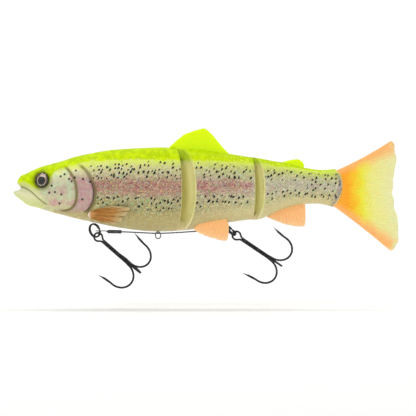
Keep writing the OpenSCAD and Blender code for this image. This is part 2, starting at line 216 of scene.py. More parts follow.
def grid_faces(rows, cols, start=0, closed=True, flip=False):
    faces = []
    for i in range(rows - 1):
        for j in range(cols if closed else cols - 1):
            k = (j + 1) % cols
            f = (start + i * cols + j, start + (i + 1) * cols + j,
                 start + (i + 1) * cols + k, start + i * cols + k)
            faces.append(f[::-1] if flip else f)
    return faces


def normals_of(grid):
    """Outward normals of a grid of points whose rows go round the body."""
    along = np.gradient(grid, axis=0)
    around = np.roll(grid, -1, axis=1) - np.roll(grid, 1, axis=1)
    n = np.cross(around, along)
    return n / np.maximum(np.linalg.norm(n, axis=2, keepdims=True), 1e-9)


def tube(path, radii, sides=16):
    """Points and faces of a closed round rod along a path, with parallel frames."""
    path = np.asarray(path, float)
    radii = np.broadcast_to(radii, len(path))
    tangent = np.gradient(path, axis=0)
    tangent /= np.linalg.norm(tangent, axis=1, keepdims=True)
    ref = np.eye(3)[np.abs(tangent[0]).argmin()]
    normal = np.cross(tangent[0], ref)
    normal /= np.linalg.norm(normal)
    angle = np.linspace(0, 2 * np.pi, sides, endpoint=False)
    points = []
    for p, t, r in zip(path, tangent, radii):
        normal = normal - t * (normal @ t)
        normal /= np.linalg.norm(normal)
        other = np.cross(t, normal)
        points.append(p + r * (np.cos(angle)[:, None] * normal + np.sin(angle)[:, None] * other))
    points = np.vstack(points + [path[:1], path[-1:]])
    n = len(path)
    faces = grid_faces(n, sides, flip=True)
    first, last = n * sides, n * sides + 1
    for j in range(sides):
        k = (j + 1) % sides
        faces.append((first, k, j))
        faces.append((last, (n - 1) * sides + j, (n - 1) * sides + k))
    return points, faces


def joined(parts):
    """Several (points, faces) pairs as one pair."""
    points, faces, start = [], [], 0
    for p, f in parts:
        points.append(np.asarray(p))
        faces += [tuple(i + start for i in face) for face in f]
        start += len(p)
    return np.vstack(points), faces


def turned(points, axis, degrees):
    """Points turned about an axis through the origin."""
    a = math.radians(degrees)
    c, s = math.cos(a), math.sin(a)
    matrix = {"x": [(1, 0, 0), (0, c, -s), (0, s, c)],
              "y": [(c, 0, s), (0, 1, 0), (-s, 0, c)],
              "z": [(c, -s, 0), (s, c, 0), (0, 0, 1)]}[axis]
    return np.asarray(points) @ np.array(matrix).T


def mirrored(points, faces):
    """The same piece for the fish's other side."""
    return np.asarray(points) * (1, -1, 1), [tuple(f)[::-1] for f in faces]


def rgb(r, g, b, a=1.0):
    """A colour given as screen values from 0 to 255; a ray's last value is its strength."""
    def linear(v):
        v /= 255
        return v / 12.92 if v <= 0.04045 else ((v + 0.055) / 1.055) ** 2.4
    return (linear(r), linear(g), linear(b), a)


# ---------------------------------------------------------------- materials

class Paint:
    """Builds one node material, a value or a colour at a time."""

    def __init__(self, name, rough=0.4, metal=0.0, specular=0.5, coat=0.0, coat_rough=0.05):
        self.mat = bpy.data.materials.new(name)
        self.mat.use_nodes = True
        self.tree = self.mat.node_tree
        self.bsdf = self.tree.nodes["Principled BSDF"]
        self.set("Roughness", rough)
        self.set("Metallic", metal)
        self.set("Specular IOR Level", specular)
        self.set("Coat Weight", coat)
        self.set("Coat Roughness", coat_rough)

    def set(self, socket, value):
        self.join(self.bsdf.inputs[socket], value)

    def join(self, socket, value):
        if isinstance(value, bpy.types.NodeSocket):
            self.tree.links.new(value, socket)
        else:
            socket.default_value = value

    def node(self, kind, inputs=None, **settings):
        made = self.tree.nodes.new("ShaderNode" + kind)
        for key, value in settings.items():
            setattr(made, key, value)
        for socket, value in (inputs or {}).items():
            self.join(made.inputs[socket], value)
        return made

    def value(self, name):
        return self.node("Attribute", attribute_name=name).outputs["Fac"]

    def place(self, stretch=(1, 1, 1)):
        out = self.node("Attribute", attribute_name="place").outputs["Vector"]
        return self.node("VectorMath", {0: out, 1: stretch}, operation="MULTIPLY").outputs[0]

    def math(self, kind, a, b=0.0, c=0.0):
        return self.node("Math", {0: a, 1: b, 2: c}, operation=kind).outputs[0]

    def times(self, a, b):
        return self.math("MULTIPLY", a, b)

    def plus(self, a, b):
        return self.math("ADD", a, b)

    def scaled(self, v, gain, offset):
        return self.math("MULTIPLY_ADD", v, gain, offset)

    def step(self, v, low, high):
        """0 below low and 1 above high, smooth between; or falling, if low is above high."""
        down = float(low > high)
        inputs = {"Value": v, "From Min": min(low, high), "From Max": max(low, high),
                  "To Min": down, "To Max": 1 - down}
        return self.node("MapRange", inputs, interpolation_type="SMOOTHSTEP").outputs["Result"]

    def mix(self, share, a, b, kind="MIX"):
        # a mix node's colour sockets are its seventh and eighth inputs and its third output
        return self.node("Mix", {0: share, 6: a, 7: b}, data_type="RGBA", blend_type=kind).outputs[2]

    def noise(self, vector, scale, detail=2.0, distortion=0.0):
        inputs = {"Vector": vector, "Scale": scale, "Detail": detail, "Distortion": distortion}
        return self.node("TexNoise", inputs).outputs["Fac"]

    def side(self, across=1.0, up=1.0, shift=(0.0, 0.0)):
        """The side view's own plane: x and z as a flat pattern's two directions."""
        split = self.node("SeparateXYZ", {0: self.node("Attribute", attribute_name="place").outputs["Vector"]})
        x = self.scaled(split.outputs[0], across, shift[0])
        z = self.scaled(split.outputs[2], up, shift[1])
        return self.node("CombineXYZ", {0: x, 1: z}).outputs[0]

    def warp(self, vector, scale, amount):
        """Pushes a pattern about by soft noise."""
        push = self.node("TexNoise", {"Vector": vector, "Scale": scale}).outputs["Color"]
        inputs = {0: push, 1: (amount, amount, 0), 2: vector}
        return self.node("VectorMath", inputs, operation="MULTIPLY_ADD").outputs[0]

    def flat_cells(self, vector, scale):
        made = self.node("TexVoronoi", {"Vector": vector, "Scale": scale}, voronoi_dimensions="2D")
        return made.outputs["Distance"], made.outputs["Color"]

    def ramp(self, v, stops):
        made = self.node("ValToRGB", {0: v})
        keys = made.color_ramp.elements
        for i, (at, colour) in enumerate(stops):
            key = keys[i] if i < 2 else keys.new(at)
            key.position = at
            key.color = colour
        return made.outputs[0]

    def part(self, colour, channel=0):
        return self.node("SeparateColor", {0: colour}).outputs[channel]

    def bump(self, heights, depth_mm, strength=1.0):
        inputs = {"Strength": strength, "Distance": depth_mm * MM, "Height": heights}
        self.set("Normal", self.node("Bump", inputs).outputs[0])


def freckles(p, mask):
    """Black comma-shaped freckles: a dot and a smaller one that hangs off it."""
    gap, tint = p.flat_cells(p.warp(p.side(1, 0.85), 0.5, 1.1), 0.47)
    tail_gap, _ = p.flat_cells(p.warp(p.side(1, 0.85, (0.42, 0.42)), 0.5, 1.1), 0.47)
    keep = p.step(p.part(tint), 0.34, 0.38)
    size = p.times(p.times(mask, keep), p.scaled(p.part(tint, 1), 0.1, 0.17))
    dot = p.step(p.math("SUBTRACT", gap, size), 0.035, -0.035)
    tail = p.step(p.math("SUBTRACT", tail_gap, p.times(size, 0.6)), 0.03, -0.03)
    return p.times(p.math("MAXIMUM", dot, tail), p.step(size, 0.04, 0.07))


def body_paint():
    """The painted skin: green back, freckled foil flank with a pink stripe, pale belly."""
    p = Paint("painted_skin", coat_rough=0.12)
    place = p.place()
    h = p.value("level")                # -1 at the belly to 1 at the back
    wobble = p.noise(place, 0.35, 3)
    h = p.plus(h, p.scaled(wobble, 0.14, -0.07))
    scaled = p.scaled(h, 0.5, 0.5)
    front = p.ramp(scaled, [
        (0.0, rgb(196, 180, 122)), (0.1, rgb(190, 174, 116)), (0.2, rgb(186, 170, 112)), (0.27, rgb(184, 174, 120)),
        (0.34, rgb(190, 182, 134)), (0.41, rgb(192, 182, 146)), (0.52, rgb(192, 172, 148)), (0.62, rgb(200, 188, 156)),
        (0.7, rgb(212, 204, 164)), (0.76, rgb(222, 220, 160)), (0.83, rgb(220, 232, 100))])
    rear = p.ramp(scaled, [
        (0.0, rgb(218, 204, 150)), (0.15, rgb(214, 202, 150)), (0.28, rgb(210, 202, 160)), (0.4, rgb(208, 200, 176)),
        (0.52, rgb(204, 192, 180)), (0.62, rgb(204, 200, 174)), (0.72, rgb(210, 208, 160)), (0.82, rgb(212, 218, 124)),
        (0.88, rgb(204, 222, 70))])
    flank = p.mix(p.value("rear"), front, rear)
    # pink stripe, from the gill to the second hinge
    stripe = p.times(p.step(h, -0.3, -0.02), p.step(h, 0.36, 0.14))
    stripe = p.times(stripe, p.value("stripe"))
    blotch = p.step(p.noise(p.place((0.3, 1, 1)), 0.6, 3), 0.3, 0.62)
    flank = p.mix(p.times(stripe, p.scaled(blotch, 0.4, 0.3)), flank, rgb(192, 108, 116))
    core = p.times(p.times(p.step(h, -0.04, 0.06), p.step(h, 0.22, 0.12)), p.value("stripe"))
    fleck = p.step(p.noise(p.place((0.45, 1, 1)), 1.5, 2), 0.5, 0.62)
    flank = p.mix(p.times(p.times(core, fleck), 0.85), flank, rgb(166, 66, 92))
    # head: pale cheek with rosy, green and yellow pools, and a rosier gill cover
    pools = p.node("TexNoise", {"Vector": place, "Scale": 0.22})
    cheek = p.ramp(scaled, [
        (0.0, rgb(212, 206, 150)), (0.2, rgb(206, 200, 160)), (0.35, rgb(204, 196, 166)), (0.5, rgb(196, 182, 160)),
        (0.62, rgb(212, 206, 178)), (0.78, rgb(220, 228, 170)), (0.88, rgb(206, 226, 100))])
    cheek = p.mix(p.step(p.part(pools.outputs["Color"], 0), 0.52, 0.66), cheek, rgb(206, 164, 158))
    cheek = p.mix(p.times(p.step(p.part(pools.outputs["Color"], 1), 0.52, 0.66), 0.7), cheek,
                  rgb(196, 214, 176))
    jaw = p.ramp(scaled, [(0.0, rgb(206, 214, 130)), (0.3, rgb(222, 222, 176)), (0.5, rgb(200, 204, 160)),
                          (0.62, rgb(186, 190, 130)), (0.8, rgb(196, 214, 70))])
    cheek = p.mix(p.value("jaw"), cheek, jaw)
    flank = p.mix(p.value("head"), flank, cheek)
    flank = p.mix(p.value("plate"), flank, p.mix(p.step(p.noise(place, 0.6, 3), 0.38, 0.62),
                                                rgb(196, 146, 150), rgb(190, 166, 158)))
    # holographic foil: each flake has a brightness and a tint of its own
    shine = p.value("foil")
    _, flake = p.flat_cells(p.warp(p.side(1, 1.15), 1.2, 0.5), 1.35)
    _, chip = p.flat_cells(p.side(0.9, 1.3), 2.6)
    level = p.scaled(p.part(chip), 0.4, p.times(p.part(flake), 0.6))
    grain = p.ramp(level, [(0.0, rgb(96, 88, 78)), (0.3, rgb(134, 126, 118)), (0.5, rgb(162, 156, 148)),
                           (0.72, rgb(190, 186, 174)), (1.0, rgb(240, 236, 216))])
    flank = p.mix(p.times(shine, 0.62), flank, grain, "OVERLAY")
    tinted = p.times(p.step(p.part(flake, 1), 0.5, 1.0), shine)
    hue = p.node("HueSaturation", {"Color": p.mix(1.0, flake, flank, "SOFT_LIGHT"), "Saturation": 0.9})
    flank = p.mix(p.times(tinted, 0.34), flank, hue.outputs[0])
    spark = p.times(p.step(p.part(chip, 2), 0.9, 0.96), shine)
    flank = p.mix(p.times(spark, 0.55), flank, rgb(244, 238, 200))
    scale_edge = p.times(p.value("scale"), shine)
    flank = p.mix(p.times(scale_edge, 0.34), flank, rgb(96, 92, 58))
    # green back
    green_edge = p.plus(p.value("green"), p.scaled(wobble, 3.4, -1.7))
    green_edge = p.plus(green_edge, p.scaled(p.noise(p.side(), 1.3, 2), 1.6, -0.8))
    flank = p.mix(p.times(p.step(green_edge, -3.4, 0.4), 0.6), flank, rgb(216, 228, 104))
    lime = p.mix(p.step(p.noise(place, 0.35, 4), 0.35, 0.68), rgb(176, 206, 0), rgb(202, 228, 0))
    lime = p.mix(p.times(p.value("rear"), 0.5), lime, rgb(176, 202, 0))
    lime = p.mix(p.times(p.step(p.part(flake, 2), 0.72, 0.9), p.step(green_edge, 4.5, 0.5)), lime,
                 rgb(214, 232, 40))
    painted = p.step(green_edge, -0.5, 0.9)
    colour = p.mix(painted, flank, lime)
    # airbrushed shade round the eye, painted shade in the mouth groove, cheek channel and gill edge, and a painted
    # shadow in the gill slit
    colour = p.mix(p.times(p.value("orbit"), 0.85), colour, rgb(84, 88, 8))
    # painted shade darkens the grooves of the mouth, cheek and gill edge
    colour = p.mix(p.value("crease"), colour, rgb(112, 98, 40))
    # painted shadow in the gill slit behind the gill cover
    colour = p.mix(p.value("slit"), colour, rgb(58, 30, 26))
    # black freckles: scattered ones on the flank, and a few in fixed places on the head
    dark = p.math("MAXIMUM", freckles(p, p.value("freckle")), p.value("dots"))
    colour = p.mix(dark, colour, rgb(20, 22, 16))
    # bare soft plastic on the hinge faces and along their edges
    bare = p.mix(p.step(p.noise(place, 0.5, 3), 0.3, 0.7), rgb(210, 204, 128), rgb(222, 216, 150))
    bare = p.mix(p.times(p.step(green_edge, -2.5, 1.5), 0.9), bare, rgb(184, 212, 10))
    bare = p.mix(p.step(h, -0.6, -0.95), bare, rgb(228, 214, 162))
    # painted light: the bare hinge face is made paler the deeper it lies in the gap, to cancel the shade that falls
    # there
    bare = p.mix(p.times(p.step(p.value("deep"), 0.0, 0.35), p.step(green_edge, 1.5, -1.5)), bare,
                 rgb(238, 232, 164))
    colour = p.mix(p.value("bare"), colour, bare)
    colour = p.mix(p.times(p.value("dusk"), 0.6), colour, rgb(120, 104, 122))
    colour = p.mix(p.value("rim"), colour, rgb(240, 214, 140))
    p.set("Base Color", colour)
    p.set("Metallic", p.times(shine, p.scaled(p.part(chip, 1), 0.3, 0.04)))
    p.set("Roughness", p.scaled(level, 0.25, 0.3))
    gloss = p.scaled(painted, -0.23, 0.27)
    p.set("Specular IOR Level", gloss)
    p.set("Coat Weight", p.times(gloss, 0.6))
    p.bump(p.plus(p.times(level, p.scaled(shine, 0.7, 0.3)),
                  p.times(p.noise(place, 2.5, 3), 0.5)), 0.04, 0.5)
    p.set("Subsurface Weight", 0.05)
    p.set("Subsurface Scale", 0.0015)
    return p.mat


def fin_paint(name, stops, ray, rays, tip=None, rough=0.36):
    """A tinted fin: a colour ramp from root to edge, with darker fine rays."""
    p = Paint(name, rough=rough, specular=0.12, coat=0.08, coat_rough=0.12)
    out, across = p.value("out"), p.value("across")
    wobble = p.scaled(p.noise(p.place(), 0.25, 3), 0.2, -0.1)
    colour = p.ramp(p.plus(out, wobble), stops)
    if tip is not None:
        rim = p.math("ABSOLUTE", p.scaled(across, 2.0, -1.0))
        colour = p.mix(p.times(p.step(rim, 0.62, 0.98), p.step(p.noise(p.place(), 0.12, 2), 0.2, 0.5)),
                       colour, tip)
    wave = p.math("SINE", p.times(across, rays * 2 * math.pi))
    streak = p.times(p.step(wave, 0.1, 0.95), p.step(p.noise(p.place((0.5, 1, 2)), 0.8, 2), 0.3, 0.7))
    streak = p.times(streak, p.step(out, 0.1, 0.4))
    colour = p.mix(p.times(streak, ray[3]), colour, ray[:3] + (1,))
    p.set("Base Color", colour)
    p.set("Subsurface Weight", 0.12)
    p.set("Subsurface Scale", 0.002)
    grain = p.plus(p.times(wave, 0.3), p.noise(p.place(), 2.2, 3))
    p.bump(grain, 0.05, 0.6)
    return p.mat


def eye_paint():
    """Printed iris: a dark pupil, a pale gold ring, a rosy upper iris and a black rim."""
    p = Paint("eye_print", rough=0.2, specular=0.6, coat=1.0, coat_rough=0.02)
    spoke = p.noise(p.place(), 2.2, 4, 0.5)
    high, wide, pupil = p.value("up"), p.value("rim"), p.value("pupil")
    iris = p.mix(p.step(high, -0.5, 0.6), rgb(78, 58, 40), rgb(160, 122, 100))
    iris = p.mix(p.times(p.step(spoke, 0.4, 0.6), 0.35), iris, rgb(112, 82, 68))
    iris = p.mix(p.times(p.step(pupil, 0.98, 1.05), p.step(pupil, 1.3, 1.18)), iris, rgb(196, 180, 152))
    iris = p.mix(p.step(pupil, 1.02, 0.94), iris, rgb(8, 8, 14))
    iris = p.mix(p.step(wide, 0.8, 0.9), iris, rgb(20, 18, 14))
    p.set("Base Color", iris)
    p.set("Metallic", 0.25)
    p.bump(spoke, 0.03, 0.4)
    return p.mat


def resin_paint():
    """Clear cast resin over the eye."""
    p = Paint("eye_resin", rough=0.03, specular=0.9)
    p.set("Base Color", p.mix(p.noise(p.place(), 0.8, 1), rgb(30, 30, 28), rgb(22, 22, 24)))
    p.set("Alpha", 0.08)
    p.set("IOR", 1.5)
    return p.mat


def metal_paint(name, dark, light, rough, grain=6.0):
    """Plated metal with faint drawing marks and handling wear."""
    p = Paint(name, metal=1.0, specular=0.5)
    p.set("Specular Tint", (0.5, 0.5, 0.51, 1.0))
    place = p.place()
    worn = p.noise(place, 1.6, 4)
    p.set("Base Color", p.mix(p.step(worn, 0.42, 0.75), dark, light))
    p.set("Roughness", p.scaled(p.noise(place, 0.9, 3), 0.2, rough))
    p.bump(p.noise(place, grain, 3), 0.01, 0.4)
    return p.mat


def plain_paint(name, first, second, rough, scale=0.8, depth=0.03, specular=0.5, coordinate=None):
    """A moulded or cast surface with slight mottling and grain, in object space."""
    p = Paint(name, rough=rough, specular=specular)
    place = coordinate(p) if coordinate else p.place()
    p.set("Base Color", p.mix(p.step(p.noise(place, scale, 3), 0.35, 0.65), first, second))
    p.bump(p.noise(place, scale * 5, 3), depth, 0.5)
    return p.mat


def object_mm(p):
    """The piece's own coordinates in mm, for carried-over solids."""
    place = p.node("TexCoord").outputs["Object"]
    return p.node("VectorMath", {0: place, "Scale": 1 / MM}, operation="SCALE").outputs[0]


def finish_piece(obj, material, *nodes, slot=None, body=None, blend=None):
    """Gives a piece its material, hangs it on its body's empty or bakes its place into the mesh if it is blended, and
    hides the CAD nodes that it stands for.
    """
    obj.data.materials.append(material)
    if blend:
        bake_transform(obj)
    else:
        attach(obj, body)
    if nodes:
        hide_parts(*nodes)
    return obj


# ---------------------------------------------------------------- body sections

def face_x(face, y, z):
    """Where a hinge face stands: a soft V, and round knuckles about the axis at top and bottom."""
    apex, angle, hinge, radius, low, high = face
    bead = 0.5 * bell(y, 1.6) * (apex > hinge)
    plain = apex - bead + (np.sqrt(y * y + 0.5) - 0.7) * math.tan(math.radians(angle))
    knuckle = hinge - np.sqrt(np.clip(radius**2 - y * y, 0, None))
    here = np.maximum(soft_step(z, high - 0.2, high + 0.2), soft_step(z, low + 0.2, low - 0.2))
    here = here * (np.abs(y) < radius)
    return np.where(knuckle < plain, plain + (knuckle - plain) * here, plain)


def head_relief(x, y, z):
    """Height of the head's relief in mm, and the masks that its paint needs."""
    out = np.zeros(x.shape)
    mouth, along_mouth = off_curve(x, z, MOUTH_LINE)
    cheek, along_cheek = off_curve(x, z, CHEEK_EDGE)
    gill, along_gill = off_curve(x, z, GILL_EDGE)
    flank = soft_step(np.abs(y), 1.5, 4)
    lip = soft_step(along_mouth, 0, 0.04) * soft_step(along_mouth, 1.0, 0.93)
    out -= 0.5 * bell(mouth, 0.34) * soft_step(along_mouth, 1.0, 0.94)
    out += 0.32 * soft_step(mouth, 0.1, 0.6) * np.exp(-np.maximum(mouth, 0) / 1.9) * (mouth < 50) * lip
    out += 0.18 * soft_step(-mouth, 0.1, 0.7) * np.exp(-np.maximum(-mouth, 0) / 1.6) * (mouth < 50) * lip
    # the cheek plate ends in a step with a shallow channel behind it
    ends = soft_step(along_cheek, 0, 0.1) * soft_step(along_cheek, 1, 0.86)
    inside = -cheek
    out += flank * ends * (0.34 * soft_step(inside, -0.15, 0.25) * np.exp(-np.maximum(inside, 0) / 5)
                           - 0.3 * bell(cheek - 0.6, 0.6))
    # the gill cover is the larger step, with the gill slit behind it
    ends2 = soft_step(along_gill, 0, 0.12) * soft_step(along_gill, 1, 0.9)
    inside2 = -gill
    out += flank * ends2 * (0.62 * soft_step(inside2, -0.15, 0.3) * np.exp(-np.maximum(inside2, 0) / 4.5)
                            - 0.6 * bell(gill - 0.6, 0.6))
    # eye socket, brow and nostrils
    r = np.hypot((x - EYE[0]) / 0.98, z - EYE[1])
    out += flank * (0.4 * bell(r - 4.5, 0.7) - 1.3 * soft_step(r, 3.9, 3.3))
    for nx, nz in ((5.4, 6.3), (6.9, 6.9)):
        out -= 0.35 * bell(np.hypot(x - nx, z - nz), 0.42) * flank
    # folds of the throat
    for lift in (1.3, 2.5, 3.7):
        fold = z - belly(x) - lift
        along = soft_step(x, 13, 18) * soft_step(x, 36, 31)
        out -= 0.16 * bell(fold, 0.22) * along * soft_step(np.abs(y), 0.6, 1.6)
    masks = {
        "orbit": np.clip(soft_step(r, 6.6, 3.6) * (0.75 + 0.25 * soft_step(EYE[0] - x, -4, 4)), 0, 1) * flank,
        # painted shade along the mouth groove, in the channel behind the cheek plate and behind the gill cover's edge
        "crease": np.clip(0.85 * bell(mouth, 0.3) * soft_step(along_mouth, 1, 0.93) * flank
                          + 0.95 * bell(cheek - 0.5, 0.75) * ends * flank
                          + 0.7 * bell(gill - 0.9, 0.8) * ends2 * flank, 0, 1),
        # painted shadow in the gill slit under the gill cover's step
        "slit": 0.95 * bell(gill + 0.05, 0.45) * ends2 * soft_step(along_gill, 0.2, 0.45) * flank,
        "plate": np.clip(soft_step(cheek, 0.8, 1.4) * soft_step(-gill, 0, 0.3) * soft_step(z, 8.5, 4)
                         * soft_step(z, -13, -9), 0, 1) * (gill < 50) * flank,
        "head": soft_step(cheek, 1.2, 0.4) * (x < 31) + 0.0,
        "body": np.where(x < 45, soft_step(gill, 0.8, 2.2), 1.0) * (x > 27),
    }
    masks["head"] = np.where(x < 18, 1.0, masks["head"])
    return out, masks


def level_of(x, z):
    """Height on the flank: -1 at the belly and 1 at the back."""
    return (z - middle(x)) / height(x)


def body_masks(x, y, z, at_edge):
    level = level_of(x, z)
    green = z - np.interp(x, GREEN_EDGE[:, 0], GREEN_EDGE[:, 1])
    relief, masks = head_relief(x, y, z)
    on_body = np.where(x < 45, masks.pop("body"), 1.0)
    upper = soft_step(level, 0.16, 0.3) * soft_step(level, 0.74, 0.62)
    lower = soft_step(level, -0.6, -0.42) * soft_step(level, -0.12, -0.22)
    middle_band = 0.25 * soft_step(level, -0.2, 0.0) * soft_step(level, 0.3, 0.16)
    tail_all = 0.75 * soft_step(x, 138, 156) * soft_step(np.abs(level), 0.9, 0.65)
    freckle = np.clip(upper + lower + middle_band + tail_all, 0, 1) * on_body
    dots = np.zeros(x.shape)
    for dot_x, dot_z in HEAD_DOTS:
        dots = np.maximum(dots, soft_step(np.hypot(x - dot_x, z - dot_z), 0.72, 0.42))
    u, v = (x + 0.75 * z) / 1.15, (x - 0.75 * z) / 1.15
    hatch = np.maximum(np.abs(np.cos(np.pi * u)) ** 6, np.abs(np.cos(np.pi * v)) ** 6)
    jaw, along = off_curve(x, z, MOUTH_LINE)
    muzzle = np.where((jaw < 0) & (x < 17), soft_step(along, 1.0, 0.9), 0) + np.where(
        jaw < 50, soft_step(jaw, 4.5, 1.5) * (jaw >= 0), 0)
    masks.update({
        "dots": dots * soft_step(np.abs(y), 2, 4),
        "scale": hatch,
        "jaw": np.clip(np.where(x < 4, 1.0, muzzle) * soft_step(x, 17, 11), 0, 1),
        "rear": soft_step(x, 70, 128),
        "level": level,
        "green": green,
        "stripe": soft_step(x, 30, 44) * soft_step(x, 122.5, 119),
        "foil": np.clip(on_body * (0.35 + 0.65 * soft_step(level, -0.75, -0.45)) * soft_step(green, 0.6, -1.5)
                        + 0.35 * (1 - on_body) * soft_step(x, 6, 12), 0, 1),
        "freckle": freckle,
        "bare": np.clip(at_edge, 0, 1),
    })
    scales = scale_height(x, z + 0.06 * x, 1.5)
    relief = relief + 0.085 * scales * on_body * soft_step(np.abs(level), 0.98, 0.85)
    # lateral line
    line_z = np.interp(x, [38, 60, 110, 165], [3.4, 2.6, 2.2, 0.6])
    relief = relief - 0.09 * bell(z - line_z, 0.28) * on_body * soft_step(np.abs(y), 2, 4)
    return relief, masks


def clear_mouth(grid):
    """Carves the open mouth into the snout: nothing stands ahead of its wedge."""
    x, z = grid[..., 0], grid[..., 2]
    corner_x, corner_z = 1.4, 0.65
    below = corner_x - (corner_z - z) / 1.5 * 3.9
    above = corner_x - (z - corner_z) / 2.7 * 2.4
    wall = np.where(z < corner_z, below, above)
    open_here = (z > -0.85) & (z < 3.4)
    grid[..., 0] = np.where(open_here, np.maximum(x, wall), x)
    return grid


def section(name, rows, sides, front=None, rear=None, nose=None, tail_round=None):
    """One length of the fish as a closed mesh with real relief.

    front and rear are hinge faces as (apex, angle); rows are shares of the length.
    """
    angle = np.linspace(0, 2 * np.pi, sides, endpoint=False)
    start = np.full(sides, nose if nose is not None else front[0])
    end = np.full(sides, tail_round[0] if tail_round else rear[0])
    for _ in range(12):
        if front:
            start = face_x(front, *body_point(start, angle))
        if rear:
            end = face_x(rear, *body_point(end, angle))
        if tail_round:
            end = np.interp(body_point(end, angle)[1], PEDUNCLE_END[:, 0], PEDUNCLE_END[:, 1])
    x = start + (end - start) * rows[:, None]
    y, z = body_point(x, angle[None, :])
    # soft edges where the skin turns into a hinge face
    round_r = 0.55
    shrink = np.zeros(x.shape)
    edge = np.zeros(x.shape)
    for use, gap in ((front, x - start), (rear, end - x)):
        if use:
            inside = np.clip(round_r - gap, 0, round_r)
            shrink += round_r - np.sqrt(round_r**2 - inside**2)
            line = soft_step(gap, 1.15, 0.75) if use is front else 0.6 * soft_step(gap, 0.55, 0.25)
            edge = np.maximum(edge, line)
    if tail_round:
        # the painted peduncle thins to a rounded flap over the fin's root
        reach = np.clip((x - tail_round[1]) / (end - tail_round[1]), 0, 1)
        shrink += tail_round[2] * reach**2 + 0.5 * soft_step(end - x, 0.6, 0)
    size = np.maximum(np.hypot(y, z - middle(x)), 0.2)
    keep = 1 - np.minimum(shrink / size, 0.9)
    side_only = tail_round is not None
    grid = np.stack([x, y * keep, z if side_only else middle(x) + (z - middle(x)) * keep], axis=2)
    relief, masks = body_masks(grid[..., 0], grid[..., 1], grid[..., 2], edge)
    fade = np.ones(x.shape)
    if front:
        fade *= soft_step(x - start, 0.3, 1.4)
    if rear:
        fade *= soft_step(end - x, 0.3, 1.4)
    grid = grid + normals_of(grid) * (relief * fade)[..., None]
    place = np.stack([x, y, z], axis=2)
    if tail_round:
        masks["rim"] = soft_step(end - x, 0.75, 0.45)
        masks["dusk"] = soft_step(end - x, 3.4, 0.9) * soft_step(level_of(x, z), 0.9, 0.6) * 0.8
    else:
        masks["rim"] = 0 * x
        masks["dusk"] = 0 * x
    if nose is not None:
        grid = clear_mouth(grid)
    points, faces = [grid.reshape(-1, 3)], grid_faces(len(rows), sides)
    places = [place.reshape(-1, 3)]
    masks["deep"] = 0 * x
    values = {k: [v.ravel()] for k, v in masks.items()}
    count = len(rows) * sides
    caps = []
    for ring_row, use, flip in ((0, front, False), (len(rows) - 1, rear, True)):
        ring = grid[ring_row]
        centre = np.array([ring[:, 0].mean() if not use else 0, 0, ring[:, 2].mean()])
        shares = np.linspace(1, 0, 25)[1:-1]
        rings = []
        for s in shares:
            p = centre + (ring - centre) * s
            if use:
                p[:, 0] = face_x(use, p[:, 1], p[:, 2]) + (ring[:, 0] - face_x(use, ring[:, 1], ring[:, 2])) * s
            else:
                p[:, 0] = ring[:, 0] * s + centre[0] * (1 - s)
            rings.append(p)
        pole = centre.copy()
        if use:
            pole[0] = face_x(use, np.zeros(1), centre[2:])[0]
        block = np.vstack(rings + [pole[None]])
        caps.append((ring_row * sides, count, len(shares), flip))
        points.append(block)
        places.append(block)
        bare = 1.0 if use else 0.0
        _, extra = body_masks(block[:, 0], block[:, 1], block[:, 2], np.full(len(block), bare))
        extra["rim"] = extra["dusk"] = np.zeros(len(block))
        # depth into the hinge face, for the painted light that lifts its shaded deep part
        extra["deep"] = np.append(np.repeat(1 - shares, sides), 1.0)
        for k in values:
            values[k].append(extra[k] if k in ("level", "green", "bare", "deep") else extra[k] * (0 if use else 1))
        count += len(block)
    for ring_start, block_start, n, flip in caps:
        starts = [ring_start] + [block_start + i * sides for i in range(n)]
        for a, b in zip(starts, starts[1:]):
            for j in range(sides):
                k = (j + 1) % sides
                f = (a + j, a + k, b + k, b + j)
                faces.append(f[::-1] if flip else f)
        last, pole = starts[-1], block_start + n * sides
        for j in range(sides):
            k = (j + 1) % sides
            f = (last + j, last + k, pole)
            faces.append(f[::-1] if flip else f)
    points = np.vstack(points)
    faces = [tuple(f)[::-1] for f in faces]
    obj = make_object(name, points, faces)
    put_place(obj, np.vstack(places))
    for k, v in values.items():
        put_value(obj, k, np.concatenate(v))
    return obj


def spaced_rows(breaks, total):
    """Shares of a length from (share, spacing weight) breaks, closer where the weight is small."""
    at = np.array([b[0] for b in breaks])
    spacing = np.array([b[1] for b in breaks])
    t = np.linspace(0, 1, 4000)
    density = 1 / np.interp(t, at, spacing)
    run = np.concatenate([[0], np.cumsum((density[1:] + density[:-1]) / 2 * np.diff(t))])
    return np.interp(np.linspace(0, run[-1], total), run, t)


def build_body(material):
    coarse = 1.0
    n = lambda v: int(v * coarse)
    front = section("front_skin", spaced_rows([(0, 0.25), (0.05, 0.5), (0.5, 0.8), (0.95, 1), (1, 0.4)], n(300)),
                    n(300), rear=SOCKET1, nose=-3.2)
    finish_piece(front, material, "front_body", slot="soft_body", body="front_section")
    mid = section("middle_skin", spaced_rows([(0, 0.4), (0.06, 1), (0.94, 1), (1, 0.4)], n(120)), n(260),
                  front=WEDGE1, rear=SOCKET2)
    finish_piece(mid, material, "middle_body", slot="soft_body", body="middle_section")
    tail = section("tail_skin", spaced_rows([(0, 0.4), (0.06, 1), (1, 1)], n(130)), n(220),
                   front=WEDGE2, tail_round=(168.2, 160, 1.9))
    finish_piece(tail, material, "tail_body", slot="soft_body",
                 blend=("tail_section", "tail_fin", (0.160, 0, 0), (0.172, 0, 0)))


# ---------------------------------------------------------------- fins

